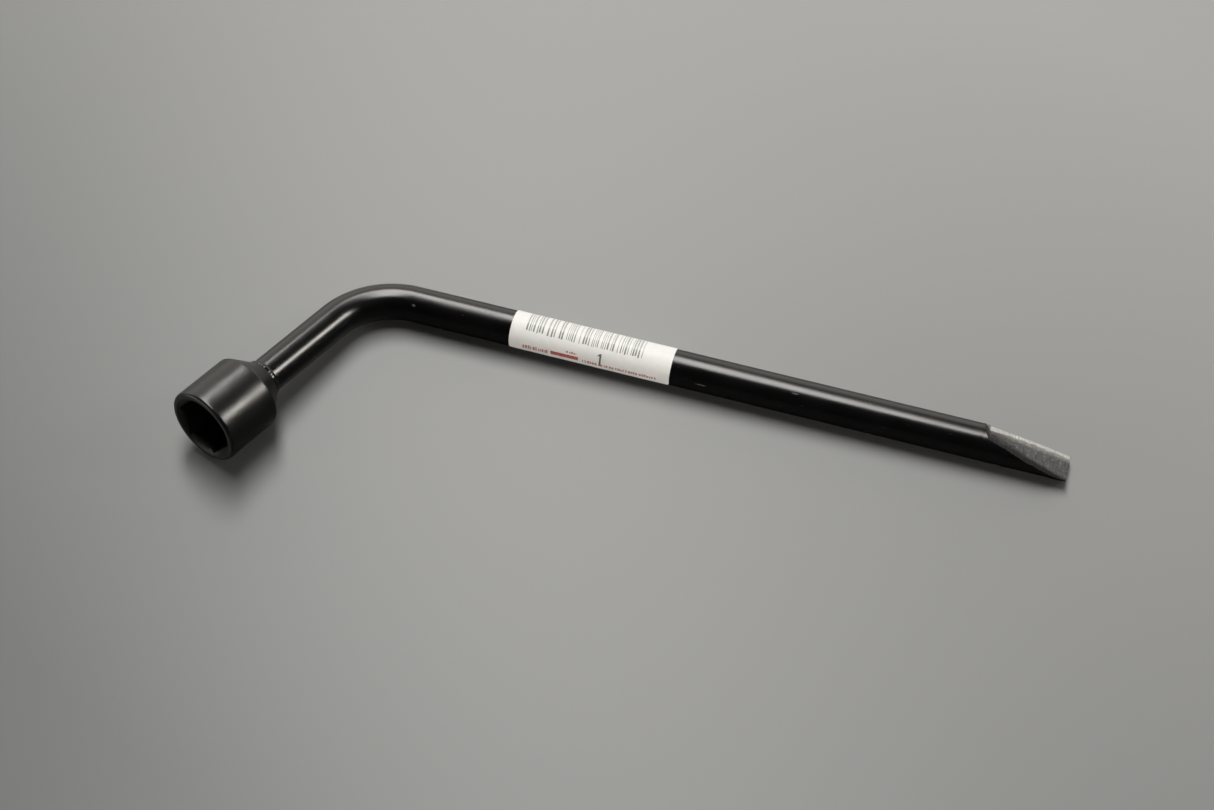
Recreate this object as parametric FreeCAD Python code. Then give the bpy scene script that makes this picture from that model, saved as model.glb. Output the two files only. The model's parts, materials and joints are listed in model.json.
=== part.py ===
import FreeCAD, Part
import math
import os

# Lug wrench: a round bar with one bend, a hexagon socket welded to its short arm and a pry tip ground
# on the end of its long arm. Millimetres and degrees, +Z up.
#
# The wrench is stored as it lies on a flat surface. The long arm runs along +X and touches z = 0 all
# along its underside. The short arm reaches towards -Y and rises a little, because the socket is wider
# than the bar and rests on the rear edge of its body. Lengths along an arm are counted from the corner,
# the point where the two arms' centrelines would cross.

# Bar
BAR_RADIUS = 7.0
BEND_RADIUS = 28.0            # of the bar's centreline
BEND_TURN = 70.0              # how far the bar turns
LONG_ARM = 275.0              # corner to tip
BAR_END_CHAMFER = 1.0         # on the end inside the socket

# Pry tip: one face ground on the bar, which winds a little because it is ground by hand
BEVEL_LENGTH = 31.0           # tip to heel
HEEL_STEP = 2.4               # the face starts this deep, at a short sloping wall
HEEL_RUN = 2.8                # length of that wall along the bar
TIP_THICKNESS = 3.7           # steel left under the face at the tip
HEEL_LEAN = 25.0              # of the face towards +Y at the heel
TIP_LEAN = -0.5               # and at the tip

# Socket
SOCKET_REACH = 91.6           # corner to mouth
SOCKET_RADIUS = 15.0
BODY_LENGTH = 23.4            # straight part, mouth to shoulder
SHOULDER_LENGTH = 8.2
NECK_WALL = 0.8               # round the bar at the small end of the shoulder
SHOULDER_ROUND = 3.0          # on the rear edge of the body
RIM_ROUND = 1.2               # on the outer edge of the mouth
NUT_ACROSS_FLATS = 21.0
NUT_CLEARANCE = 0.15          # across flats
HEX_DEPTH = 15.0
HEX_TURN = 48.0               # of a corner of the hexagon from the plane of the bend
LEAD_IN_MARGIN = 0.7          # of the lead-in cone past the hexagon's corners
LEAD_IN_SLOPE = 35.0          # of that cone from the face of the mouth
RELIEF_RADIUS = 9.5           # round bore behind the hexagon for the end of a wheel stud
RELIEF_DEPTH = 5.0
SEAT_DEPTH = 8.5              # of the bar in the socket
SEAT_CLEARANCE = 0.05         # round the bar, and at its end

# Weld at the neck
WELD_LENGTH = 2.2
WELD_HEIGHT = 0.7
WELD_TOE = 0.1                # thickness of the bead where it runs out on the bar

# Sticker on the long arm
LABEL_START = 60.0            # from the corner
LABEL_LENGTH = 63.7
LABEL_THICKNESS = 0.15
GLUE_GAP = 0.05
LABEL_NEAR_EDGE = -36.0       # angle round the bar, from -Y up over the top
LABEL_FAR_EDGE = 231.0
LABEL_CORNER = 1.6

# Cuts start and end this far outside the steel
OVERRUN = 2.0

# Derived sizes
turn = math.radians(BEND_TURN)
bend_tangent = BEND_RADIUS * math.tan(turn / 2)
body_rear = SOCKET_REACH - BODY_LENGTH
socket_rear = body_rear - SHOULDER_LENGTH
bar_end = socket_rear + SEAT_DEPTH - SEAT_CLEARANCE
seat_radius = BAR_RADIUS + SEAT_CLEARANCE
neck_radius = seat_radius + NECK_WALL
shoulder_angle = math.atan2(SOCKET_RADIUS - neck_radius, SHOULDER_LENGTH)
hex_apothem = (NUT_ACROSS_FLATS + NUT_CLEARANCE) / 2
hex_corner_radius = hex_apothem / math.cos(math.pi / 6)
label_inner = BAR_RADIUS + GLUE_GAP
label_outer = label_inner + LABEL_THICKNESS

# Directions while the wrench lies flat with both arms in the XY plane and the corner at the origin
X = FreeCAD.Vector(1, 0, 0)
Y = FreeCAD.Vector(0, 1, 0)
Z = FreeCAD.Vector(0, 0, 1)
corner = FreeCAD.Vector(0, 0, 0)
short_arm = FreeCAD.Vector(-math.cos(turn), -math.sin(turn), 0)
across_short_arm = FreeCAD.Vector(-math.sin(turn), math.cos(turn), 0)


def profile(corners):
    """Closed face in the XZ plane through (x, z, rounding) corners, each rounded by its own radius."""
    places = [FreeCAD.Vector(x, 0, z) for x, z, _ in corners]
    count = len(corners)
    bends = []
    for index, place in enumerate(places):
        rounding = corners[index][2]
        back = (places[index - 1] - place).normalize()
        ahead = (places[(index + 1) % count] - place).normalize()
        half = back.getAngle(ahead) / 2
        inward = (back + ahead).normalize()
        reach = rounding / math.tan(half)
        middle = place + inward * (rounding / math.sin(half) - rounding)
        bends.append((place + back * reach, middle, place + ahead * reach, rounding))
    edges = []
    for index, (start, middle, end, rounding) in enumerate(bends):
        if rounding > 0:
            edges.append(Part.Arc(start, middle, end).toShape())
        edges.append(Part.makeLine(end, bends[(index + 1) % count][0]))
    return Part.Face(Part.Wire(edges))


def turned(corners):
    """Solid of revolution about Z from (radius, height, rounding) corners."""
    return profile(corners).revolve(corner, Z, 360)


def on_short_arm(shape):
    """Carries a shape built along +Z to the short arm, with its XZ plane in the plane of the bend."""
    placed = shape.copy()
    placed.Placement = FreeCAD.Placement(corner, FreeCAD.Rotation(across_short_arm, -Z, short_arm, "ZXY"))
    return placed


def ground_outline(distance, height, lean):
    """Outline of the steel ground away at a distance along the long arm, above a leaning line."""
    up = FreeCAD.Vector(0, math.sin(math.radians(lean)), math.cos(math.radians(lean)))
    side = up.cross(X)
    foot = X * distance + up * height
    reach = 2 * BAR_RADIUS
    outline = [
        foot - side * reach,
        foot + side * reach,
        foot + side * reach + up * 2 * reach,
        foot - side * reach + up * 2 * reach,
    ]
    return Part.makePolygon(outline + outline[:1])


def make_ground_away():
    """The steel that the grinding of the pry tip takes off the round bar."""
    heel = LONG_ARM - BEVEL_LENGTH
    heel_height = BAR_RADIUS - HEEL_STEP
    tip_height = TIP_THICKNESS - BAR_RADIUS
    past_tip = 1 + OVERRUN / BEVEL_LENGTH
    return Part.makeLoft([
        ground_outline(heel - HEEL_RUN, BAR_RADIUS, HEEL_LEAN),
        ground_outline(heel, heel_height, HEEL_LEAN),
        ground_outline(
            LONG_ARM + OVERRUN,
            heel_height + (tip_height - heel_height) * past_tip,
            HEEL_LEAN + (TIP_LEAN - HEEL_LEAN) * past_tip,
        ),
    ], True, True)


def make_bar():
    """The bent round bar, chamfered at its seated end and ground to a wedge at its tip."""
    long_run = Part.makeCylinder(BAR_RADIUS, LONG_ARM - bend_tangent, X * bend_tangent, X)
    section = Part.Face(Part.Wire(Part.makeCircle(BAR_RADIUS, X * bend_tangent, X)))
    bend = section.revolve(FreeCAD.Vector(bend_tangent, -BEND_RADIUS, 0), Z, BEND_TURN)
    straight = on_short_arm(turned([
        (0, bend_tangent, 0),
        (BAR_RADIUS, bend_tangent, 0),
        (BAR_RADIUS, bar_end - BAR_END_CHAMFER, 0),
        (BAR_RADIUS - BAR_END_CHAMFER, bar_end, 0),
        (0, bar_end, 0),
    ]))
    return long_run.fuse([bend, straight]).removeSplitter().cut(make_ground_away())


def make_socket():
    """The forged socket: round body, conical shoulder, and recesses from both ends."""
    forging = turned([
        (0, socket_rear, 0),
        (neck_radius, socket_rear, 0),
        (SOCKET_RADIUS, body_rear, SHOULDER_ROUND),
        (SOCKET_RADIUS, SOCKET_REACH, RIM_ROUND),
        (0, SOCKET_REACH, 0),
    ])
    hex_floor = SOCKET_REACH - HEX_DEPTH
    corners = []
    for step in range(7):
        angle = math.radians(HEX_TURN + 60 * step)
        corners.append(FreeCAD.Vector(
            hex_corner_radius * math.cos(angle),
            hex_corner_radius * math.sin(angle),
            hex_floor,
        ))
    hexagon = Part.Face(Part.makePolygon(corners)).extrude(Z * (HEX_DEPTH + OVERRUN))
    lead_in_radius = hex_corner_radius + LEAD_IN_MARGIN
    lead_in_depth = lead_in_radius * math.tan(math.radians(LEAD_IN_SLOPE))
    lead_in = Part.makeCone(0, 2 * lead_in_radius, 2 * lead_in_depth, Z * (SOCKET_REACH - lead_in_depth), Z)
    relief = Part.makeCylinder(
        RELIEF_RADIUS, RELIEF_DEPTH + HEX_DEPTH / 2, Z * (hex_floor - RELIEF_DEPTH), Z)
    seat = Part.makeCylinder(seat_radius, SEAT_DEPTH + OVERRUN, Z * (socket_rear - OVERRUN), Z)
    return on_short_arm(forging.cut([hexagon, lead_in, relief, seat]))


def make_weld_bead():
    """A rounded fillet of weld round the bar, against the rear face of the socket."""
    return on_short_arm(turned([
        (seat_radius, socket_rear - WELD_LENGTH, 0),
        (seat_radius + WELD_TOE, socket_rear - WELD_LENGTH, 0),
        (seat_radius + WELD_HEIGHT, socket_rear - WELD_LENGTH / 2, WELD_LENGTH / 2),
        (seat_radius + WELD_HEIGHT, socket_rear, 0),
        (seat_radius, socket_rear, 0),
    ]))


def make_label():
    """A thin sticker with rounded corners, wrapped round the long arm and open underneath."""
    label_end = LABEL_START + LABEL_LENGTH
    strip = profile([
        (LABEL_START, label_inner, 0),
        (label_end, label_inner, 0),
        (label_end, label_outer, 0),
        (LABEL_START, label_outer, 0),
    ])
    strip.rotate(corner, X, 90 - LABEL_NEAR_EDGE)
    sticker = strip.revolve(corner, -X, LABEL_FAR_EDGE - LABEL_NEAR_EDGE)
    sides = LABEL_CORNER + OVERRUN
    block = Part.makeBox(sides, sides, sides, FreeCAD.Vector(-OVERRUN, -OVERRUN, label_outer - sides / 2))
    keep = Part.makeCylinder(LABEL_CORNER, 2 * sides, FreeCAD.Vector(LABEL_CORNER, LABEL_CORNER, 0), Z)
    corner_cut = block.cut(keep)
    label_corners = [
        (LABEL_START, LABEL_NEAR_EDGE),
        (label_end, LABEL_NEAR_EDGE),
        (label_end, LABEL_FAR_EDGE),
        (LABEL_START, LABEL_FAR_EDGE),
    ]
    for quarter, (along, angle) in enumerate(label_corners):
        cutter = corner_cut.copy()
        cutter.rotate(corner, Z, 90 * quarter)
        cutter.rotate(corner, X, 90 - angle)
        cutter.translate(X * along)
        sticker = sticker.cut(cutter)
    return sticker


def rest_lean():
    """How far the plane of the bend leans about the long arm until the socket's rear edge touches down."""
    along = body_rear + SHOULDER_ROUND * math.tan(shoulder_angle / 2)
    out = SOCKET_RADIUS - SHOULDER_ROUND
    up = BAR_RADIUS - SHOULDER_ROUND
    spread = along ** 2 + out ** 2
    rise = (math.sqrt((along * up) ** 2 - spread * (up ** 2 - out ** 2)) - along * up) / spread
    return math.degrees(math.asin(rise / math.sin(turn)))


def main():
    os.makedirs("parts", exist_ok=True)
    pieces = {
        "bar": make_bar(),
        "socket": make_socket(),
        "weld_bead": make_weld_bead(),
        "label": make_label(),
    }
    for shape in pieces.values():
        shape.rotate(corner, X, -rest_lean())
        shape.translate(Z * BAR_RADIUS)
    extent = Part.makeCompound([pieces["bar"], pieces["socket"]]).optimalBoundingBox(False)
    middle = FreeCAD.Vector(extent.Center.x, extent.Center.y, 0)
    for name, shape in pieces.items():
        shape.translate(-middle)
        shape.exportStep("parts/" + name + ".step")
        print(name, "valid", shape.isValid(), "solids", len(shape.Solids), "volume", round(shape.Volume, 1))
    print("corner at", -middle.x, -middle.y, BAR_RADIUS, "lean", rest_lean())


main()
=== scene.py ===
import json
import math
import random

import bpy
from mathutils import Matrix, Vector, noise


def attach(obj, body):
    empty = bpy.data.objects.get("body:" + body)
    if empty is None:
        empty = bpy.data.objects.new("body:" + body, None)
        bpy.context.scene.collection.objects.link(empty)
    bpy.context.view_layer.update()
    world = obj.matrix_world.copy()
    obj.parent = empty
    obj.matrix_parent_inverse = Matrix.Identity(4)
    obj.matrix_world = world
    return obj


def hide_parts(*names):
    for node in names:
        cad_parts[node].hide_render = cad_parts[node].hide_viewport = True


# Looks of a lug wrench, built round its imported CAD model: a bent bar in gloss black with a pry tip ground
# bare, a socket in satin black, the weld between them and a printed sticker. Metres, +Z up.

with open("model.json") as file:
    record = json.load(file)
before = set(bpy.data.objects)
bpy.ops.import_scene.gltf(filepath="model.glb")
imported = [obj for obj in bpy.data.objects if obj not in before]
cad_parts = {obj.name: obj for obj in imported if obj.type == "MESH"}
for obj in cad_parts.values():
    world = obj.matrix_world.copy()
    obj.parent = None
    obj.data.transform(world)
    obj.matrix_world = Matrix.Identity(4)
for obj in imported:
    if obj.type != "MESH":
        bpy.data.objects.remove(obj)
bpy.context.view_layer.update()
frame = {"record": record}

MM = 0.001

# Bar, counted from the corner, the point where the centrelines of the two arms cross
BEND_RADIUS = 28.0 * MM
LONG_ARM = 275.0 * MM
SEATED_END = 68.45 * MM            # of the short arm, inside the socket
END_CHAMFER = 1.0 * MM

# Pry tip
BEVEL_LENGTH = 31.0 * MM
HEEL_STEP = 2.4 * MM
HEEL_RUN = 2.0 * MM                # a little shorter than on the solid
TIP_THICKNESS = 3.7 * MM
HEEL_LEAN = math.radians(25.0)
TIP_LEAN = math.radians(-0.5)
RULED_PAST_TIP = 2.0 * MM          # the ruled face is laid out to this far past the tip
LIP_LEAN = math.radians(-4.0)      # of the rolled edge along the far side of the face
LIP_INSET = 1.3 * MM               # how much of the flat the rolled edge takes
LIP_WIDENING = 1.5                 # the share by which it takes more beside the heel
LIP_SETTLES = 4.0 * MM             # distance from the heel over which that dies away
TIP_ROUND = 0.3 * MM
HEEL_START = LONG_ARM - BEVEL_LENGTH - HEEL_RUN

# Socket, along the short arm from the corner
SOCKET_REACH = 91.6 * MM
SOCKET_RADIUS = 15.0 * MM
BODY_REAR = 68.2 * MM
SOCKET_REAR = 60.0 * MM
SEAT_RADIUS = 7.05 * MM
NECK_RADIUS = 7.85 * MM
SHOULDER_ROUND = 1.5 * MM          # sharper than on the solid
RIM_ROUND = 1.2 * MM
HEX_APOTHEM = 10.575 * MM
HEX_DEPTH = 15.0 * MM
HEX_TURN = math.radians(48.0)
HEX_CORNER_CUT = 0.21 * MM         # how far the corners of the hexagon fall short of sharp
LEAD_IN_MARGIN = 0.7 * MM
LEAD_IN_SLOPE = math.radians(35.0)
RELIEF_RADIUS = 9.5 * MM
RELIEF_DEPTH = 5.0 * MM
SEAT_DEPTH = 8.5 * MM
CAP_RADIUS = 0.4 * MM              # of the small flat caps that close the shell on its axis

# Weld bead
WELD_LENGTH = 2.2 * MM
WELD_HEIGHT = 0.7 * MM

# Sticker
LABEL_START = 60.0 * MM
LABEL_LENGTH = 63.7 * MM
LABEL_INNER = 7.05 * MM
LABEL_OUTER = 7.2 * MM
LABEL_NEAR = math.radians(-126.0)  # angle round the bar from its top, towards the back
LABEL_FAR = math.radians(141.0)
LABEL_CORNER = 1.6 * MM
LABEL_SKEW = math.radians(3.0)     # by which its near edge climbs from one end to the other
LABEL_WAVE = 0.02 * MM
INK = 0.03 * MM
INK_LIFT = 0.005 * MM              # between the sticker and the underside of the ink

# Scuffs in the paint of the bar: distance along it (mm), angle round it (degrees), length and width (mm).
# The last three are on its hidden side.
SCUFFS = (
    (20.7, -48.6, 0.9, 0.55),
    (136.0, -80.0, 2.4, 0.4),
    (171.5, -35.0, 1.6, 0.3),
    (34.0, 118.0, 1.8, 0.5),
    (214.0, 152.0, 3.0, 0.5),
    (95.0, 170.0, 2.2, 0.6),
)

# Tones
DUST = (0.16, 0.16, 0.155)
CHIPPED = (0.10, 0.10, 0.10)
BELT_DARK, BELT_LIGHT = (0.045, 0.0455, 0.047), (0.142, 0.1435, 0.147)
BELT_STREAK = (0.05, 0.05, 0.05)
RUBBED_PATCH = (0.29, 0.29, 0.29)
# painted shade on the ground face of the pry tip, darkest at its near edge
NEAR_EDGE_PAINTED_SHADE = (0.008, 0.008, 0.008)
RUBBED_BY_LIP = (0.33, 0.325, 0.32)
ROLLED_DARK, ROLLED_LIGHT = (0.36, 0.352, 0.345), (0.66, 0.65, 0.64)
VINYL_DARK, VINYL_LIGHT = (0.80, 0.80, 0.785), (0.84, 0.84, 0.825)

# Camera: what it aims at, and where it stands as seen from there
CAMERA_AIM = (-11.76 * MM, 22.18 * MM, 0.0)
CAMERA_AZIMUTH = math.radians(17.39)    # from -Y towards +X
CAMERA_ELEVATION = math.radians(53.51)
CAMERA_DISTANCE = 0.8323
CAMERA_ROLL = math.radians(-0.22)
CAMERA_LENS = 65.24
SENSOR_WIDTH = 36.0

# Floor: its tone fades from front to back along a level direction; the fade is painted light and shade,
# darker in front and lighter behind
FLOOR_REACH = 4.0
FLOOR_FRONT_PAINTED_SHADE = (0.112, 0.1197, 0.1211)
FLOOR_BACK_PAINTED_LIGHT = (0.316, 0.3185, 0.320)
FLOOR_FADE = (0.41, 0.91, 0.0)
FLOOR_FADE_START, FLOOR_FADE_END = -0.2, 0.3
FLOOR_SHADED = (0.05, 0.05, 0.05, 1.0)

# Light: radiances, of which 1 shows as white
WALL = 1.22                        # the wall behind, as it shows
WALL_DIFFUSE = 0.45                # the same wall as a light on matt surfaces
WALL_FACING = (-0.3, 0.95, 0.0)
FRONT_DIFFUSE = 2.9                # low light from the front, on matt surfaces only
GLINT_RADIANCE = 15.0              # a bright patch to the right, in glossy reflections only
GLINT_AZIMUTH = math.radians(16.0)  # from +X towards +Y
GLINT_ELEVATION = math.radians(30.4)
GLINT_HALF_WIDTH = 0.16            # offset of a unit direction, as are the next two
GLINT_HALF_HEIGHT = 0.112
GLINT_EDGE = 0.01
REST_OF_STUDIO = 0.01
LAMP_TINT = (1.0, 0.98, 0.945)
WORLD_TINT = (1.0, 0.94, 0.86, 1.0)


# Frames along the bar ---------------------------------------------------------------------------------

mounts = {mount["name"]: mount for mount in frame["record"]["mounts"]}
ALONG = Vector(mounts["bar_grip"]["axis"]).normalized()
REACH = Vector(mounts["socket_hex"]["axis"]).normalized()
UP = REACH.cross(ALONG).normalized()
BACK = UP.cross(ALONG).normalized()
BAR_RADIUS = mounts["bar_grip"]["dims"]["r_mm"] * MM
TURN = math.pi - ALONG.angle(REACH)
BEND_TANGENT = BEND_RADIUS * math.tan(TURN / 2)
mouth_centre = Vector(mounts["socket_hex"]["pos_m"])
CORNER = mouth_centre - REACH * SOCKET_REACH


def around(direction, side, angle):
    """Unit vector at an angle from UP towards side, square to direction."""
    return UP * math.cos(angle) + side * math.sin(angle)


def long_station(distance):
    """Centre, direction and outer side of the long arm at a distance from the corner."""
    return CORNER + ALONG * distance, ALONG, BACK


def bend_station(angle):
    """The same at an angle round the bend, from the long arm."""
    side = BACK * math.cos(angle) - ALONG * math.sin(angle)
    direction = ALONG * math.cos(angle) + BACK * math.sin(angle)
    middle = CORNER + ALONG * BEND_TANGENT - BACK * BEND_RADIUS
    return middle + side * BEND_RADIUS, direction, side


def short_station(distance):
    """The same on the short arm, with the direction away from the socket."""
    side = BACK * math.cos(TURN) - ALONG * math.sin(TURN)
    return CORNER + REACH * distance, -REACH, side


# Meshes -----------------------------------------------------------------------------------------------

def make_piece(name, points, faces, materials, replaced=None, straight=None, kinds=None, edge=None):
    """A mesh that rides on the wrench. straight holds each point as on a straight bar, in millimetres."""
    mesh = bpy.data.meshes.new(name)
    mesh.from_pydata([tuple(point) for point in points], [], faces)
    mesh.validate()
    for material in materials:
        mesh.materials.append(material)
    if kinds:
        mesh.polygons.foreach_set("material_index", kinds)
    if straight:
        layer = mesh.attributes.new("straight", "FLOAT_VECTOR", "POINT")
        layer.data.foreach_set("vector", [value for point in straight for value in point])
    if edge:
        layer = mesh.attributes.new("edge", "FLOAT", "POINT")
        layer.data.foreach_set("value", edge)
    mesh.polygons.foreach_set("use_smooth", [True] * len(mesh.polygons))
    mesh.set_sharp_from_angle(angle=math.radians(32))
    piece = bpy.data.objects.new(name, mesh)
    bpy.context.scene.collection.objects.link(piece)
    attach(piece, "root")
    if replaced:
        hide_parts(replaced)
    return piece


def ring_faces(first, second, closed=True):
    """Quads between two rows of point numbers of equal length."""
    count = len(first)
    faces = []
    for index in range(count if closed else count - 1):
        after = (index + 1) % count
        faces.append((first[index], first[after], second[after], second[index]))
    return faces


def ripple(point, scale, seed=0.0):
    """Smooth noise from about -1 to 1; scale is the size of its lumps."""
    return noise.noise(Vector(point) / scale + Vector((seed, 17.3 * seed, -5.1 * seed)))


# Materials --------------------------------------------------------------------------------------------

class Shader:
    """Builds one node material or world: every node is added with its settings and its inputs."""

    def __init__(self, name, world=False):
        self.owner = bpy.data.worlds.new(name) if world else bpy.data.materials.new(name)
        self.owner.use_nodes = True
        self.tree = self.owner.node_tree
        self.tree.nodes.clear()
        self.output = self.add("OutputWorld" if world else "OutputMaterial")

    def add(self, kind, inputs=None, **settings):
        made = self.tree.nodes.new("ShaderNode" + kind)
        for key, value in settings.items():
            setattr(made, key, value)
        for key, value in (inputs or {}).items():
            if isinstance(value, bpy.types.NodeSocket):
                self.tree.links.new(value, made.inputs[key])
            else:
                made.inputs[key].default_value = value
        return made

    def straight(self, stretch=(1, 1, 1)):
        """The straight-bar coordinates in millimetres, with each axis stretched."""
        source = self.add("Attribute", attribute_name="straight")
        return self.add("Mapping", {"Vector": source.outputs["Vector"], "Scale": stretch}).outputs[0]

    def spot(self, centre, size):
        """1 at a point given as along, across and up on the straight bar (mm), falling to 0 at its size."""
        moved = self.add("Mapping", {
            "Vector": self.straight(),
            "Location": tuple(-at / reach for at, reach in zip(centre, size)),
            "Scale": tuple(1 / reach for reach in size),
        }).outputs[0]
        away = self.add("VectorMath", {0: moved}, operation="LENGTH").outputs["Value"]
        return self.ramp(away, 0.3, 1.0, 1.0, 0.0)

    def part(self, vector, axis):
        """One component of a vector, X, Y or Z."""
        return self.add("SeparateXYZ", {"Vector": vector}).outputs[axis]

    def dot(self, vector, direction):
        return self.add("VectorMath", {0: vector, 1: direction}, operation="DOT_PRODUCT").outputs["Value"]

    def grain(self, vector, scale, detail=2.0, roughness=0.5):
        """Noise from 0 to 1, with about as many lumps to the millimetre as its scale."""
        return self.add("TexNoise", {
            "Vector": vector, "Scale": scale, "Detail": detail, "Roughness": roughness}).outputs["Fac"]

    def ramp(self, factor, low, high, start=0.0, end=1.0):
        """Maps factor from the range low..high to start..end, clamped."""
        return self.add("MapRange", {
            "Value": factor, "From Min": low, "From Max": high, "To Min": start, "To Max": end}).outputs[0]

    def math(self, operation, first, second):
        return self.add("Math", {0: first, 1: second}, operation=operation).outputs[0]

    def blend(self, factor, first, second):
        mix = self.add("Mix", {0: factor}, data_type="RGBA")
        for socket, value in ((mix.inputs[6], first), (mix.inputs[7], second)):
            if isinstance(value, bpy.types.NodeSocket):
                self.tree.links.new(value, socket)
            else:
                socket.default_value = (*value, 1.0)
        return mix.outputs[2]

    def bump(self, height, depth, below=None):
        """Bump of a height field; depth is in metres."""
        inputs = {"Height": height, "Strength": 1.0, "Distance": depth}
        if below:
            inputs["Normal"] = below
        return self.add("Bump", inputs).outputs[0]

    def finish(self, **inputs):
        """The finished material, a Principled surface with the inputs given, spaces written as _."""
        inputs = {key.replace("_", " "): value for key, value in inputs.items()}
        surface = self.add("BsdfPrincipled", inputs)
        self.tree.links.new(surface.outputs[0], self.output.inputs[0])
        return self.owner


def enamel(name, black, roughness, peel, seed, scuffs=(), shine=0.5):
    """Black paint over steel: orange peel, hairline scratches, dust, scuffs and chips at a ground edge."""
    shader = Shader(name)
    place = shader.straight()
    moved = shader.add("Mapping", {"Vector": place, "Location": (seed, 2 * seed, 3 * seed)}).outputs[0]
    cloud = shader.grain(moved, 0.09, 3.0)
    lengthwise = shader.grain(shader.straight((0.16, 1, 1)), 2.2, 3.0, 0.6)
    hairline = shader.ramp(lengthwise, 0.69, 0.74)
    cells = shader.add("TexVoronoi", {"Vector": moved, "Scale": 0.22, "Randomness": 1.0}).outputs["Distance"]
    speck = shader.ramp(cells, 0.035, 0.02)
    scratches = shader.math("MULTIPLY", hairline, 0.10)
    specks = shader.math("MULTIPLY", speck, 0.6)
    dust = shader.math("MAXIMUM", scratches, specks)
    faded = tuple(1.7 * channel for channel in black)
    tone = shader.blend(shader.ramp(cloud, 0.35, 0.65), black, faded)
    for centre, size in scuffs:
        worn = shader.ramp(shader.grain(place, 2.5), 0.35, 0.6)
        rubbed = shader.math("MULTIPLY", shader.spot(centre, size), worn)
        dust = shader.math("MAXIMUM", dust, rubbed)
    colour = shader.blend(dust, tone, DUST)
    edge = shader.add("Attribute", attribute_name="edge").outputs["Fac"]
    chipped = shader.math("ADD", edge, shader.grain(place, 1.6, 3.0, 0.6))
    chip = shader.ramp(chipped, 1.5, 1.54)
    colour = shader.blend(chip, colour, CHIPPED)
    marked = shader.math("MAXIMUM", dust, chip)
    dull = shader.ramp(cloud, 0.3, 0.7, roughness - 0.02, roughness + 0.03)
    dull = shader.math("ADD", dull, shader.math("MULTIPLY", marked, 0.4))
    skin = shader.bump(shader.grain(moved, 1.5, 1.0), 0.3 * peel)
    skin = shader.bump(shader.grain(moved, 0.55, 1.0), peel, skin)
    skin = shader.bump(shader.grain(moved, 0.12, 1.0), 3 * peel, skin)
    return shader.finish(Base_Color=colour, Metallic=chip, Roughness=dull, IOR=1.5,
                         Specular_IOR_Level=shine, Normal=skin)


def make_ground_steel():
    """Dull steel from a coarse belt: crosswise marks, rubbed patches and brighter steel beside the lip, with
    painted shade darkening the face towards its near edge, widest at the heel."""
    shader = Shader("ground_steel")
    fine = shader.grain(shader.straight((1, 0.08, 0.08)), 4.0, 4.0, 0.7)
    broad = shader.grain(shader.straight((1, 0.25, 0.25)), 0.9, 2.0)
    patch = shader.grain(shader.straight((0.6, 1, 1)), 0.8, 4.0, 0.65)
    tone = shader.blend(shader.ramp(fine, 0.35, 0.65), BELT_DARK, BELT_LIGHT)
    tone = shader.blend(shader.ramp(broad, 0.45, 0.7, 0.0, 0.45), tone, BELT_STREAK)
    tone = shader.blend(shader.ramp(patch, 0.56, 0.72, 0.0, 0.5), tone, RUBBED_PATCH)
    place = shader.straight()
    along, across = shader.part(place, "X"), shader.part(place, "Y")
    heel, tip = (LONG_ARM - BEVEL_LENGTH) / MM, LONG_ARM / MM
    # Painted shade: the face darkens towards its near edge, over a width that is widest at the heel
    near_edge = shader.ramp(along, heel, tip, -2.8, -6.2)
    painted_shade_width = shader.ramp(along, heel, heel + 18, 7.8, 1.6)
    share = shader.math("DIVIDE", shader.math("SUBTRACT", across, near_edge), painted_shade_width)
    share = shader.math("ADD", share, shader.ramp(patch, 0.3, 0.7, -0.15, 0.15))
    tone = shader.blend(shader.ramp(share, 0.12, 1.0, 0.96, 0.0), tone, NEAR_EDGE_PAINTED_SHADE)
    beside_lip = shader.math("SUBTRACT", across, shader.ramp(along, heel, heel + 10, 3.2, 2.4))
    rubbed = shader.ramp(beside_lip, 0.0, 2.6, 0.0, 1.1)
    rubbed = shader.math("MULTIPLY", rubbed, shader.ramp(patch, 0.3, 0.7, 0.3, 0.9))
    tone = shader.blend(rubbed, tone, RUBBED_BY_LIP)
    dull = shader.ramp(patch, 0.3, 0.7, 0.55, 0.4)
    marks = shader.bump(fine, 0.06 * MM)
    return shader.finish(Base_Color=tone, Metallic=0.9, Roughness=dull, Normal=marks)


def make_burnished_steel():
    """Bright steel of the rolled edge, with the belt marks running out across it."""
    shader = Shader("burnished_steel")
    fine = shader.grain(shader.straight((1, 0.12, 0.12)), 4.5, 3.0, 0.7)
    tone = shader.blend(shader.ramp(fine, 0.3, 0.65), ROLLED_DARK, ROLLED_LIGHT)
    marks = shader.bump(fine, 0.02 * MM)
    return shader.finish(Base_Color=tone, Metallic=0.7, Roughness=0.4, Normal=marks)


def make_label_stock():
    """White vinyl: a soft sheen, faint mottling and slight waves under it."""
    shader = Shader("label_stock")
    place = shader.straight()
    mottle = shader.grain(place, 0.5, 4.0, 0.6)
    tone = shader.blend(shader.ramp(mottle, 0.3, 0.7), VINYL_DARK, VINYL_LIGHT)
    waves = shader.bump(shader.grain(shader.straight((0.4, 1, 1)), 0.25, 1.0), 0.05 * MM)
    return shader.finish(Base_Color=tone, Roughness=0.5, Specular_IOR_Level=0.3, Normal=waves)


def make_ink(name, tone):
    """Printing ink, a little uneven."""
    shader = Shader(name)
    patch = shader.grain(shader.straight(), 3.0, 3.0, 0.6)
    worn = tuple(channel + 0.35 * (0.8 - channel) for channel in tone)
    colour = shader.blend(shader.ramp(patch, 0.45, 0.8), tone, worn)
    return shader.finish(Base_Color=colour, Roughness=0.45)


# The bar ----------------------------------------------------------------------------------------------

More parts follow.
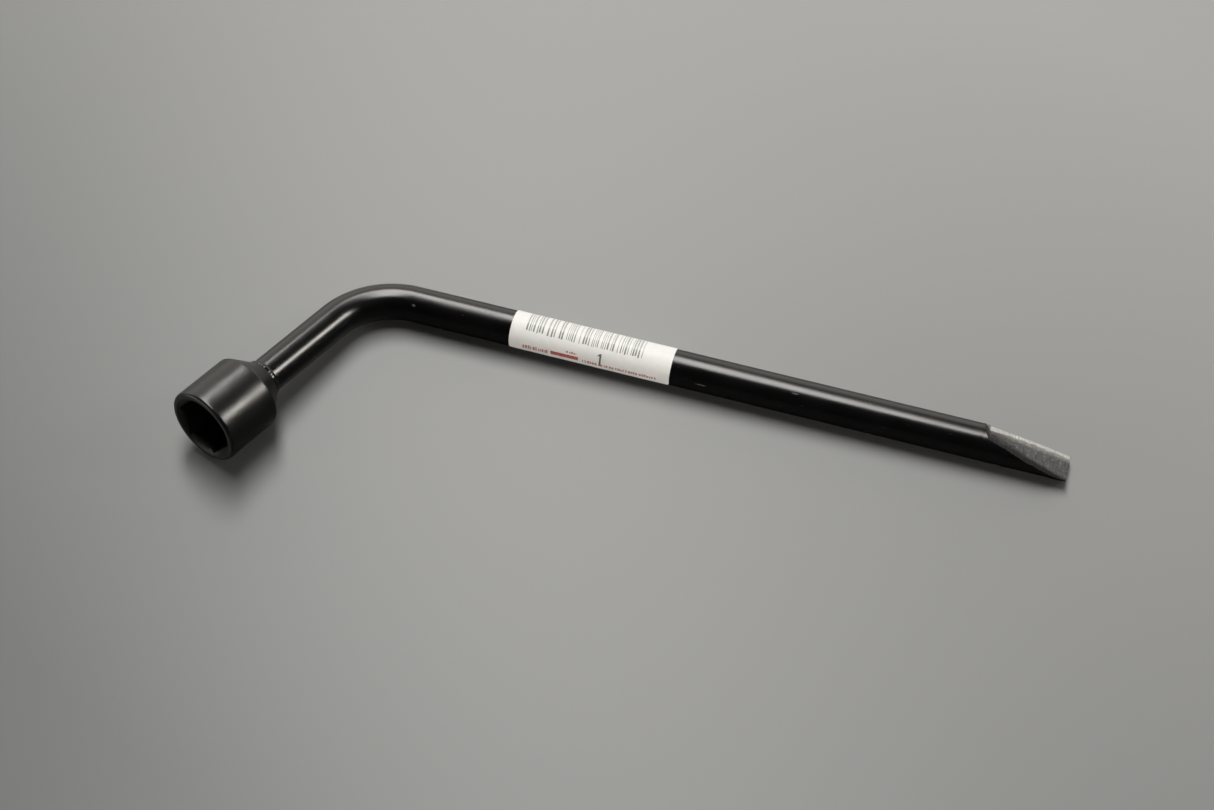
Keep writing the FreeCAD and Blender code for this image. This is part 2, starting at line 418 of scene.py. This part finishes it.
RING = 96                       # points round a full ring
ACROSS = 22                     # steps across the flat of the pry tip
LIP = 6                         # steps across its rolled edge
STATION_STEP = 1.5 * MM         # along the straight arms
BEND_STEPS = 48
TIP_STEP = 0.2 * MM             # along the pry tip
CHIP_REACH = 1.5 * MM           # how far from the ground edge the paint may chip
SKIN_SWELL = 0.012 * MM
PAINTED, GROUND, ROLLED = 0, 1, 2       # faces by their material


def ground_line(distance):
    """Unit normal (across, up) and height over the centreline of the ground plane at a distance."""
    heel = LONG_ARM - BEVEL_LENGTH
    start_height = BAR_RADIUS - HEEL_STEP
    if distance <= heel:
        share = (distance - heel + HEEL_RUN) / HEEL_RUN
        return Vector((math.sin(HEEL_LEAN), math.cos(HEEL_LEAN))), BAR_RADIUS - HEEL_STEP * share
    past = 1 + RULED_PAST_TIP / BEVEL_LENGTH
    share = (distance - heel) / (BEVEL_LENGTH + RULED_PAST_TIP)
    end_height = start_height + (TIP_THICKNESS - BAR_RADIUS - start_height) * past
    end_lean = HEEL_LEAN + (TIP_LEAN - HEEL_LEAN) * past
    ends = []
    for side in (-1, 1):
        line = []
        for height, lean in ((start_height, HEEL_LEAN), (end_height, end_lean)):
            reach = 2 * side * BAR_RADIUS
            line.append(Vector((reach * math.cos(lean), height - reach * math.sin(lean))))
        ends.append(line[0].lerp(line[1], share))
    run = (ends[1] - ends[0]).normalized()
    normal = Vector((-run.y, run.x))
    return normal, ends[0].dot(normal)


def tip_section(distance):
    """Angles of the near and far edges of the ground face, and its points from near to far."""
    normal, height = ground_line(distance)
    depth = BAR_RADIUS - height
    ragged = 0.16 * MM * ripple((distance, 0, 0), 0.7 * MM) * (1 + ripple((distance, 0, 0), 3 * MM, 9.0))
    ragged += 0.3 * MM * ripple((distance, 0, 0), 2.6 * MM, 2.0)
    lean = math.atan2(normal.x, normal.y)
    half = math.acos(min(1.0, height / BAR_RADIUS))
    chord = BAR_RADIUS * math.sin(half)
    fade = min(1.0, depth / HEEL_STEP)
    near = lean - half + ragged * fade / BAR_RADIUS
    run = Vector((normal.y, -normal.x))
    start = Vector((math.sin(near), math.cos(near))) * BAR_RADIUS
    widening = LIP_WIDENING * math.exp(-max(0.0, distance - LONG_ARM + BEVEL_LENGTH) / LIP_SETTLES)
    waver = 0.3 * ripple((distance, 3, 0), 2.5 * MM) + 0.22 * ripple((distance, 5, 0), 0.6 * MM)
    inset = min(LIP_INSET * (1 + widening + waver), 0.45 * chord)
    foot = normal * height + run * (chord - inset)
    rise = Vector((math.cos(LIP_LEAN), -math.sin(LIP_LEAN)))
    along = foot.dot(rise)
    length = -along + math.sqrt(along * along + BAR_RADIUS ** 2 - foot.length_squared)
    end = foot + rise * length
    far = math.atan2(end.x, end.y)
    points = [start.lerp(foot, index / ACROSS) for index in range(ACROSS + 1)]
    points += [foot.lerp(end, (index + 1) / LIP) for index in range(LIP)]
    for index in range(1, ACROSS + LIP):
        across = points[index].x
        cut = 0.035 * ripple((distance - 0.12 * across, across * 0.06, 0), 0.33 * MM, 4.0)
        cut += 0.05 * ripple((distance - 0.2 * across, across * 0.2, 0), 1.3 * MM, 6.0)
        points[index] = points[index] + normal * cut * MM * fade
    return near, far, points


def rounded(station, angle, straight_distance):
    """A point on the skin of the bar: its place, and the same on a straight bar in millimetres."""
    centre, direction, side = station
    flat = (straight_distance, BAR_RADIUS * math.sin(angle), BAR_RADIUS * math.cos(angle))
    swell = SKIN_SWELL * ripple((flat[0] * 0.35, flat[1], flat[2]), 4.5 * MM)
    radius = BAR_RADIUS + swell - SKIN_SWELL
    return centre + around(direction, side, angle) * radius, tuple(value / MM for value in flat)


def bar_stations():
    """Stations from the seated end to the heel, with their distance along the straightened bar."""
    bend_length = BEND_RADIUS * TURN
    stations = []
    count = round((SEATED_END - END_CHAMFER - BEND_TANGENT) / STATION_STEP)
    for index in range(count):
        distance = SEATED_END - END_CHAMFER + (BEND_TANGENT - SEATED_END + END_CHAMFER) * index / count
        stations.append((short_station(distance), BEND_TANGENT - bend_length - (distance - BEND_TANGENT)))
    for index in range(BEND_STEPS):
        angle = TURN * (1 - index / BEND_STEPS)
        stations.append((bend_station(angle), BEND_TANGENT - BEND_RADIUS * angle))
    count = round((HEEL_START - BEND_TANGENT) / STATION_STEP)
    for index in range(count + 1):
        distance = BEND_TANGENT + (HEEL_START - BEND_TANGENT) * index / count
        stations.append((long_station(distance), distance))
    return stations


def make_bar(paint, steel, burnished):
    """The bent bar with its ground pry tip as one closed mesh."""
    points, flats, faces, kinds, edges = [], [], [], [], []

    def put(place, flat, edge=0.0):
        points.append(place)
        flats.append(flat)
        edges.append(edge)
        return len(points) - 1

    def join(new_faces, kind):
        faces.extend(new_faces)
        kinds.extend([kind] * len(new_faces))

    previous = None
    stations = bar_stations()
    for station, distance in stations:
        angles = [HEEL_LEAN + 2 * math.pi * index / RING for index in range(RING)]
        row = [put(*rounded(station, angle, distance)) for angle in angles]
        if previous:
            join(ring_faces(previous, row), PAINTED)
        else:
            centre, direction, side = station
            small = 1 - END_CHAMFER / BAR_RADIUS
            cap = []
            for number in row:
                place = centre + (points[number] - centre) * small - direction * END_CHAMFER
                cap.append(put(place, flats[number]))
            join(ring_faces(cap, row), PAINTED)
            join([tuple(reversed(cap))], PAINTED)
        previous = row
    # Past the heel the ring opens: its two ends run along the edges of the ground face
    previous = previous + previous[:1]
    open_length = BEVEL_LENGTH + HEEL_RUN - TIP_ROUND
    steps = round(open_length / TIP_STEP)
    face_row = None
    for step in range(1, steps + 1):
        distance = HEEL_START + open_length * step / steps
        near, far, section = tip_section(distance)
        station = long_station(distance)
        row = []
        for index in range(RING + 1):
            angle = far + (2 * math.pi + near - far) * index / RING
            gap = min(angle - far, 2 * math.pi + near - angle) * BAR_RADIUS
            row.append(put(*rounded(station, angle, distance), max(0.0, 1 - gap / CHIP_REACH)))
        join(ring_faces(previous, row, closed=False), PAINTED)
        inner = []
        for point in section[1:-1]:
            place = station[0] + BACK * point.x + UP * point.y
            inner.append(put(place, (distance / MM, point.x / MM, point.y / MM), 1.0))
        new_row = [row[-1]] + inner + [row[0]]
        if face_row:
            strips = ring_faces(face_row, new_row, closed=False)
            join(strips[:ACROSS], GROUND)
            join(strips[ACROSS:], ROLLED)
        else:
            heel = previous[0]
            join([(heel, second, first) for first, second in zip(new_row[1:], new_row)], GROUND)
        face_row = new_row
        previous = row
    # The end of the tip, rounded over a little
    rim = previous[:-1] + face_row[:-1]
    middle = sum((points[number] for number in rim), Vector()) / len(rim)
    cap = []
    for number in rim:
        inward = (middle - points[number]).normalized()
        place = points[number] + inward * TIP_ROUND + ALONG * TIP_ROUND
        cap.append(put(place, flats[number], 1.0))
    join(ring_faces(rim, cap), GROUND)
    join([tuple(cap)], GROUND)
    materials = [paint, steel, burnished]
    return make_piece("bent_bar", points, faces, materials, "bar", flats, kinds, edges)


# The socket -------------------------------------------------------------------------------------------

COLUMNS = 180                   # round the socket, a multiple of six so that columns fall on its corners
EDGE_BREAK = 0.3 * MM           # on the neck, the seat and the hexagon's floor
OUTSIDE, RECESS = 0, 1          # faces by their material


def hex_radius(angle):
    """Distance from the axis to the wall of the hexagon, with its corners cut back a little."""
    off_flat = (angle % (math.pi / 3)) - math.pi / 6
    sharp = HEX_APOTHEM / math.cos(off_flat)
    blunt = HEX_APOTHEM / math.cos(math.pi / 6) - HEX_CORNER_CUT
    return min(sharp, blunt)


def arc_points(centre, radius, start, end, count):
    """Points (radius, distance) on an arc, angles from the radius axis towards the mouth."""
    for index in range(count + 1):
        angle = start + (end - start) * index / count
        yield centre[0] + radius * math.cos(angle), centre[1] + radius * math.sin(angle)


def between(first, last, count):
    """The points that divide a line into count equal parts, without its ends."""
    for part in range(1, count):
        yield tuple(start + (end - start) * part / count for start, end in zip(first, last))


def socket_rows():
    """The turned outline of the socket from its seat out, round the shoulder and rim to the mouth."""
    slope = math.atan2(SOCKET_RADIUS - NECK_RADIUS, BODY_REAR - SOCKET_REAR)
    square_to_cone = slope - math.pi / 2
    seat_floor = SOCKET_REAR + SEAT_DEPTH
    rows = [(CAP_RADIUS, seat_floor), (SEAT_RADIUS, seat_floor)]
    rows += [(SEAT_RADIUS, SOCKET_REAR + EDGE_BREAK), (SEAT_RADIUS + 0.2 * MM, SOCKET_REAR)]
    neck_centre = (NECK_RADIUS - EDGE_BREAK, SOCKET_REAR + EDGE_BREAK)
    rows += arc_points(neck_centre, EDGE_BREAK, -math.pi / 2, square_to_cone, 4)
    tangent = SHOULDER_ROUND * math.tan(slope / 2)
    shoulder_centre = (SOCKET_RADIUS - SHOULDER_ROUND, BODY_REAR + tangent)
    shoulder = list(arc_points(shoulder_centre, SHOULDER_ROUND, square_to_cone, 0, 10))
    rows += list(between(rows[-1], shoulder[0], 6))
    rows += shoulder
    body_end = SOCKET_REACH - RIM_ROUND
    rows += between((SOCKET_RADIUS, BODY_REAR + tangent), (SOCKET_RADIUS, body_end), 14)
    rows += arc_points((SOCKET_RADIUS - RIM_ROUND, body_end), RIM_ROUND, 0, math.pi / 2, 8)
    return rows


def make_socket(paint, recess):
    """The socket as one closed turned shell with a hexagon recess and a round relief behind it."""
    points, flats, faces, kinds = [], [], [], []
    side = short_station(0)[2]
    lead_radius = HEX_APOTHEM / math.cos(math.pi / 6) + LEAD_IN_MARGIN
    floor = SOCKET_REACH - HEX_DEPTH

    def put_row(radius_at, distance_at):
        row = []
        for column in range(COLUMNS):
            angle = HEX_TURN + 2 * math.pi * column / COLUMNS
            radius, distance = radius_at(angle), distance_at(angle)
            outward = side * math.cos(angle) - UP * math.sin(angle)
            points.append(CORNER + REACH * distance + outward * radius)
            flats.append((distance / MM, radius * math.cos(angle) / MM, radius * math.sin(angle) / MM))
            row.append(len(points) - 1)
        return row

    def plain_row(radius, distance):
        return put_row(lambda angle: radius, lambda angle: distance)

    def lead_depth(radius):
        return SOCKET_REACH - (lead_radius - radius) * math.tan(LEAD_IN_SLOPE)

    def wall(angle):
        return hex_radius(angle - HEX_TURN)

    rows = [(plain_row(radius, distance), OUTSIDE) for radius, distance in socket_rows()]
    # The lead-in, a cone from the mouth down to the walls of the hexagon
    lip = lead_radius - 0.06 * MM
    rows.append((plain_row(lead_radius + 0.08 * MM, SOCKET_REACH), OUTSIDE))
    rows.append((plain_row(lip, lead_depth(lip)), RECESS))
    for part in (0.5, 1.0):
        def cone_radius(angle, part=part):
            return lead_radius + (wall(angle) + 0.08 * MM - lead_radius) * part

        def cone_depth(angle, radius_at=cone_radius):
            return lead_depth(radius_at(angle))

        rows.append((put_row(cone_radius, cone_depth), RECESS))
    # The hexagon, from the lead-in down to its floor
    rows.append((put_row(wall, lambda angle: lead_depth(wall(angle)) - 0.12 * MM), RECESS))
    for part in (0.25, 0.5, 0.75):
        def wall_depth(angle, part=part):
            return lead_depth(wall(angle)) * (1 - part) + floor * part

        rows.append((put_row(wall, wall_depth), RECESS))
    rows.append((put_row(wall, lambda angle: floor + EDGE_BREAK), RECESS))
    rows.append((put_row(lambda angle: wall(angle) - EDGE_BREAK, lambda angle: floor), RECESS))
    # The round relief behind it
    relief_floor = floor - RELIEF_DEPTH
    for radius, distance in (
        (RELIEF_RADIUS + 0.2 * MM, floor),
        (RELIEF_RADIUS, floor - 0.2 * MM),
        (RELIEF_RADIUS, relief_floor + 0.4 * MM),
        (RELIEF_RADIUS - 0.4 * MM, relief_floor),
        (CAP_RADIUS, relief_floor),
    ):
        rows.append((plain_row(radius, distance), RECESS))
    for (first, _), (second, kind) in zip(rows, rows[1:]):
        new_faces = ring_faces(second, first)
        faces.extend(new_faces)
        kinds.extend([kind] * len(new_faces))
    faces += [tuple(rows[0][0]), tuple(reversed(rows[-1][0]))]
    kinds += [OUTSIDE, RECESS]
    return make_piece("hex_socket", points, faces, [paint, recess], "socket", flats, kinds)


def make_weld_bead(paint):
    """A bead of weld with overlapping ripples, fuller on its upper side."""
    points, flats, faces = [], [], []
    side = short_station(0)[2]
    columns, across = 240, 12
    rows = []
    for step in range(across + 1):
        share = step / across
        row = []
        for column in range(columns):
            angle = 2 * math.pi * column / columns
            wave = abs(math.sin(13 * angle + 0.6 * math.sin(3 * angle)))
            upper = 0.5 - 0.5 * math.cos(angle - math.pi / 2 - 0.4)
            length = WELD_LENGTH * (0.86 + 0.14 * ripple((math.cos(angle), math.sin(angle), 0), 0.4))
            height = WELD_HEIGHT * (0.72 + 0.2 * upper + 0.16 * wave)
            profile = math.sin(math.pi * min(share * 0.8, 0.5))
            radius = BAR_RADIUS + 0.02 * MM + height * profile
            distance = SOCKET_REAR - length * (1 - share)
            outward = side * math.cos(angle) - UP * math.sin(angle)
            points.append(CORNER + REACH * distance + outward * radius)
            flats.append((distance / MM, radius * math.cos(angle) / MM, radius * math.sin(angle) / MM))
            row.append(len(points) - 1)
        rows.append(row)
    # The hidden inside of the ring, just under the skin of the bar
    for end in (SOCKET_REAR, SOCKET_REAR - WELD_LENGTH):
        row = []
        for column in range(columns):
            angle = 2 * math.pi * column / columns
            outward = side * math.cos(angle) - UP * math.sin(angle)
            points.append(CORNER + REACH * end + outward * (BAR_RADIUS - 0.1 * MM))
            flats.append((end / MM, 0.0, 0.0))
            row.append(len(points) - 1)
        rows.append(row)
    for first, second in zip(rows, rows[1:] + rows[:1]):
        faces += ring_faces(second, first)
    return make_piece("neck_weld", points, faces, [paint], "weld_bead", flats)


# The sticker ------------------------------------------------------------------------------------------

def on_bar(distance, angle, radius):
    """A point round the long arm, and the same in straight-bar millimetres."""
    centre = CORNER + ALONG * distance
    place = centre + around(ALONG, BACK, angle) * radius
    return place, (distance / MM, radius * math.sin(angle) / MM, radius * math.cos(angle) / MM)


def make_label(stock):
    """The sticker: a thin sheet with rounded corners, wrapped round the bar and slightly wavy."""
    points, flats, faces = [], [], []
    lengthwise, girth = 100, 140
    layers = []
    for radius in (LABEL_OUTER, LABEL_INNER):
        rows = []
        for step in range(lengthwise + 1):
            along = LABEL_LENGTH * 0.5 * (1 - math.cos(math.pi * step / lengthwise))
            from_end = min(along, LABEL_LENGTH - along)
            cut = LABEL_CORNER - min(from_end, LABEL_CORNER)
            trim = (LABEL_CORNER - math.sqrt(max(0.0, LABEL_CORNER ** 2 - cut ** 2))) / LABEL_OUTER
            near = LABEL_NEAR + trim + LABEL_SKEW * along / LABEL_LENGTH
            far = LABEL_FAR - trim
            row = []
            for column in range(girth + 1):
                angle = near + (far - near) * column / girth
                wave = LABEL_WAVE * ripple((along, LABEL_OUTER * angle, 0), 9 * MM, 3.0)
                place, flat = on_bar(LABEL_START + along, angle, radius + wave)
                points.append(place)
                flats.append(flat)
                row.append(len(points) - 1)
            rows.append(row)
        layers.append(rows)
    outer, inner = layers
    for first, second in zip(outer, outer[1:]):
        faces += ring_faces(first, second, closed=False)
    for first, second in zip(inner, inner[1:]):
        faces += ring_faces(second, first, closed=False)
    for first, second in (
        (inner[0], outer[0]),
        (outer[-1], inner[-1]),
        ([row[0] for row in outer], [row[0] for row in inner]),
        ([row[-1] for row in inner], [row[-1] for row in outer]),
    ):
        faces += ring_faces(first, second, closed=False)
    return make_piece("sticker", points, faces, [stock], "label", flats)


class Print:
    """Thin pads of ink laid on the sticker, gathered into one piece."""

    def __init__(self):
        self.points, self.flats, self.faces = [], [], []

    def pad(self, start, end, near, far):
        """A rectangle from start to end along the sticker (mm) and from near to far round it (degrees)."""
        steps = max(1, round(abs(far - near) / 3))
        rows = []
        for step in range(steps + 1):
            angle = math.radians(near + (far - near) * step / steps)
            row = []
            for along, lift in ((start, 0), (start, 1), (end, 1), (end, 0)):
                radius = LABEL_OUTER + INK_LIFT + INK * lift
                place, flat = on_bar(LABEL_START + along * MM, angle, radius)
                self.points.append(place)
                self.flats.append(flat)
                row.append(len(self.points) - 1)
            rows.append(row)
        for first, second in zip(rows, rows[1:]):
            self.faces += ring_faces(first, second)
        self.faces += [tuple(reversed(rows[0])), tuple(rows[-1])]

    def finish(self, name, ink):
        """The gathered pads as one piece."""
        return make_piece(name, self.points, self.faces, [ink], None, self.flats)


def print_sticker(grey, dark, black, red, pale_red):
    """Generic print: plain bars, a red block, thin rules in place of lettering and the numeral 1.

    Places are millimetres along the sticker and degrees round the bar from its top, towards the back.
    """
    draw = random.Random(11)
    bars_start, bars_end = 6.0, 52.6
    # The bars' ink is lighter above their foot line than below it: the lighter upper part is painted sheen,
    # where the sticker's highlight washes thin bars out
    bars_top, bars_foot = 38, -18           # the bars turn darker below their foot line
    bars, feet = Print(), Print()
    along = bars_start
    while along < bars_end:
        group_end = along + draw.choice((0.5, 1.6, 2.2, 2.8, 3.2))
        while along < group_end:
            width = draw.choice((0.25, 0.4, 0.6))
            bars.pad(along, along + width, bars_foot, bars_top)
            feet.pad(along, along + width, draw.uniform(-43, -38), bars_foot)
            along += width + draw.choice((0.4, 0.55))
        along += draw.choice((0.5, 0.8, 1.2))
    bars.finish("print_bars_painted_sheen", grey)
    feet.finish("print_bar_feet", dark)
    # The numeral: its stem, then its flag in small steps
    numeral = Print()
    numeral.pad(36.1, 36.8, -102, -58)
    for step in range(4):
        numeral.pad(35.2 + 0.25 * step, 36.2, -66 + 2.0 * step, -64 + 2.0 * step)
    numeral.finish("print_numeral", black)
    block = Print()
    block.pad(16.8, 27.8, -102, -87)
    block.finish("print_block", red)
    rules = Print()
    for start, end, near, far in ((5.6, 15.6, -104, -87), (23.0, 27.0, -80, -73), (29.5, 59.0, -104, -92)):
        along = start
        while along < end:
            length = min(draw.uniform(0.35, 0.9), end - along)
            rules.pad(along, along + length, near, near + (far - near) * draw.uniform(0.7, 1.0))
            along += length + draw.choice((0.25, 0.3, 0.6))
    rules.finish("print_rules", pale_red)


# Stage, camera and lights -----------------------------------------------------------------------------

def make_floor():
    """A mid-grey table with a soft sheen, with painted light and shade: its tone is lighter towards the back
    and darker in front.

    Glossy reflections take the part in front of the long arm and right of the short one as shaded.
    """
    shader = Shader("floor")
    place = shader.add("TexCoord").outputs["Object"]
    # Painted light and shade: the table's tone runs from dark in front to light behind
    fade = shader.ramp(shader.dot(place, FLOOR_FADE), FLOOR_FADE_START, FLOOR_FADE_END)
    tone = shader.blend(fade, FLOOR_FRONT_PAINTED_SHADE, FLOOR_BACK_PAINTED_LIGHT)
    before_long_arm = shader.ramp(shader.part(place, "Y"), 0.05, 0.10, 1.0, 0.0)
    right_of_short_arm = shader.ramp(shader.dot(place, (-0.94, 0.34, 0.0)), 0.104, 0.116, 1.0, 0.0)
    front = shader.math("MULTIPLY", before_long_arm, right_of_short_arm)
    mirrored = shader.math("MULTIPLY", front, shader.add("LightPath").outputs["Is Glossy Ray"])
    table = shader.add("BsdfPrincipled", {"Base Color": tone, "Roughness": 0.42, "Specular IOR Level": 0.5})
    shaded = shader.add("BsdfDiffuse", {"Color": FLOOR_SHADED})
    mix = shader.add("MixShader", {0: mirrored, 1: table.outputs[0], 2: shaded.outputs[0]})
    shader.tree.links.new(mix.outputs[0], shader.output.inputs[0])
    mesh = bpy.data.meshes.new("floor")
    reach = FLOOR_REACH
    corners = [(-reach, -reach, 0), (reach, -reach, 0), (reach, reach, 0), (-reach, reach, 0)]
    mesh.from_pydata(corners, [], [(0, 1, 2, 3)])
    mesh.materials.append(shader.owner)
    floor = bpy.data.objects.new("floor", mesh)
    bpy.context.scene.collection.objects.link(floor)


def softbox(name, place, facing, along, width, height, radiance):
    """A rectangular lamp with its width along a direction; radiance 1 would show as white."""
    lamp = bpy.data.lights.new(name, "AREA")
    lamp.shape = "RECTANGLE"
    lamp.size = width
    lamp.size_y = height
    lamp.energy = math.pi * width * height * radiance
    lamp.color = LAMP_TINT
    lamp_object = bpy.data.objects.new(name, lamp)
    bpy.context.scene.collection.objects.link(lamp_object)
    back = -Vector(facing).normalized()
    across = Vector(along).normalized()
    turn = Matrix((across, back.cross(across), back)).transposed()
    lamp_object.matrix_world = Matrix.Translation(Vector(place)) @ turn.to_4x4()


def aimed_softbox(name, azimuth, elevation, distance, width, height, radiance):
    """A softbox that faces the wrench from an azimuth (from +X towards +Y) and an elevation, in degrees."""
    azimuth = math.radians(azimuth)
    elevation = math.radians(elevation)
    towards = Vector((
        math.cos(azimuth) * math.cos(elevation),
        math.sin(azimuth) * math.cos(elevation),
        math.sin(elevation),
    ))
    level = Vector((-math.sin(azimuth), math.cos(azimuth), 0))
    softbox(name, towards * distance, -towards, level, width, height, radiance)


def make_lamps():
    """A long ceiling panel behind, a softbox to the right and a low fill from the front left."""
    softbox("ceiling_panel", place=(-0.572, 1.226, 2.586), facing=(0, 0, -1), along=(0.482, -0.876, 0),
            width=2.75, height=0.8, radiance=13.3)
    aimed_softbox("softbox_right", azimuth=19.5, elevation=32.0, distance=2.0,
                  width=0.45, height=0.47, radiance=7.5)
    aimed_softbox("fill_left", azimuth=214.0, elevation=6.0, distance=2.4,
                  width=1.9, height=0.4, radiance=5.0)


def make_world():
    """A dark studio with a pale wall behind, low light from the front and a bright patch to the right.

    The wall ends about 36 degrees up and lights matt surfaces less than it shows. The front light reaches
    matt surfaces only, and the patch shows in glossy reflections only.
    """
    shader = Shader("studio", world=True)
    place = shader.add("TexCoord").outputs["Generated"]
    rays = shader.add("LightPath").outputs
    height = shader.part(place, "Z")

    def below(low, high):
        """1 below an elevation, falling to 0 at a higher one, in degrees."""
        return shader.ramp(height, math.sin(math.radians(low)), math.sin(math.radians(high)), 1.0, 0.0)

    def within(offset, half):
        """1 where an offset is less than half either way, with a soft edge."""
        away = shader.math("ABSOLUTE", offset, 0.0)
        return shader.ramp(away, half - GLINT_EDGE, half + GLINT_EDGE, 1.0, 0.0)

    wall = shader.math("MULTIPLY", shader.ramp(shader.dot(place, WALL_FACING), 0.3, 0.6), below(33, 40))
    wall_radiance = shader.ramp(rays["Is Diffuse Ray"], 0.0, 1.0, WALL, WALL_DIFFUSE)
    wall = shader.math("MULTIPLY", wall, wall_radiance)

    behind = shader.ramp(shader.part(place, "Y"), -0.15, 0.15)
    front = shader.math("MULTIPLY", below(8, 18), shader.math("SUBTRACT", 1.0, behind))
    front_radiance = shader.math("MULTIPLY", rays["Is Diffuse Ray"], FRONT_DIFFUSE)
    front = shader.math("MULTIPLY", front, front_radiance)

    across = shader.dot(place, (-math.sin(GLINT_AZIMUTH), math.cos(GLINT_AZIMUTH), 0.0))
    upright = shader.dot(place, (
        -math.cos(GLINT_AZIMUTH) * math.sin(GLINT_ELEVATION),
        -math.sin(GLINT_AZIMUTH) * math.sin(GLINT_ELEVATION),
        math.cos(GLINT_ELEVATION),
    ))
    glint = shader.math("MULTIPLY", within(across, GLINT_HALF_WIDTH), within(upright, GLINT_HALF_HEIGHT))
    to_the_right = shader.ramp(shader.part(place, "X"), 0.0, 0.3)
    glint = shader.math("MULTIPLY", glint, to_the_right)
    glint_radiance = shader.math("MULTIPLY", rays["Is Glossy Ray"], GLINT_RADIANCE)
    glint = shader.math("MULTIPLY", glint, glint_radiance)

    strength = shader.math("ADD", shader.math("ADD", wall, front), shader.math("ADD", glint, REST_OF_STUDIO))
    background = shader.add("Background", {"Color": WORLD_TINT, "Strength": strength})
    shader.tree.links.new(background.outputs[0], shader.output.inputs[0])
    bpy.context.scene.world = shader.owner


def make_camera():
    """The camera, aimed at the middle of the wrench."""
    data = bpy.data.cameras.new("camera")
    data.lens = CAMERA_LENS
    data.sensor_width = SENSOR_WIDTH
    data.clip_start = 0.05
    camera = bpy.data.objects.new("camera", data)
    bpy.context.scene.collection.objects.link(camera)
    away = Vector((
        math.sin(CAMERA_AZIMUTH) * math.cos(CAMERA_ELEVATION),
        -math.cos(CAMERA_AZIMUTH) * math.cos(CAMERA_ELEVATION),
        math.sin(CAMERA_ELEVATION),
    ))
    camera.location = Vector(CAMERA_AIM) + away * CAMERA_DISTANCE
    turn = away.to_track_quat("Z", "Y").to_matrix() @ Matrix.Rotation(CAMERA_ROLL, 3, "Z")
    camera.rotation_euler = turn.to_euler()
    bpy.context.scene.camera = camera


def on_skin(along, angle, length, width):
    """Centre and size in millimetres of a mark on the bar."""
    angle = math.radians(angle)
    radius = BAR_RADIUS / MM
    return (along, radius * math.sin(angle), radius * math.cos(angle)), (length, width, width)


def main():
    bpy.context.scene.view_settings.view_transform = "Standard"
    make_camera()
    make_world()
    make_floor()
    make_lamps()
    scuffs = [on_skin(*mark) for mark in SCUFFS]
    gloss = enamel("gloss_black", (0.0013, 0.0013, 0.0014), 0.245, 0.004 * MM, 3.0, scuffs)
    satin = enamel("satin_black", (0.0026, 0.0026, 0.0027), 0.3, 0.025 * MM, 40.0)
    recess = enamel("recess_black", (0.0032, 0.0031, 0.003), 0.42, 0.03 * MM, 80.0, shine=0.2)
    make_bar(gloss, make_ground_steel(), make_burnished_steel())
    make_socket(satin, recess)
    make_weld_bead(enamel("weld_black", (0.002, 0.002, 0.002), 0.2, 0.006 * MM, 120.0))
    make_label(make_label_stock())
    # The grey of the bars' upper part is partly painted sheen, lighter where the sticker's highlight would
    # wash the bars out
    grey = make_ink("ink_grey_painted_sheen", (0.40, 0.40, 0.39))
    black = make_ink("ink_black", (0.05, 0.05, 0.052))
    dark = make_ink("ink_dark_grey", (0.18, 0.18, 0.175))
    red = make_ink("ink_red", (0.42, 0.055, 0.04))
    print_sticker(grey, dark, black, red, make_ink("ink_pale_red", (0.44, 0.15, 0.12)))


main()
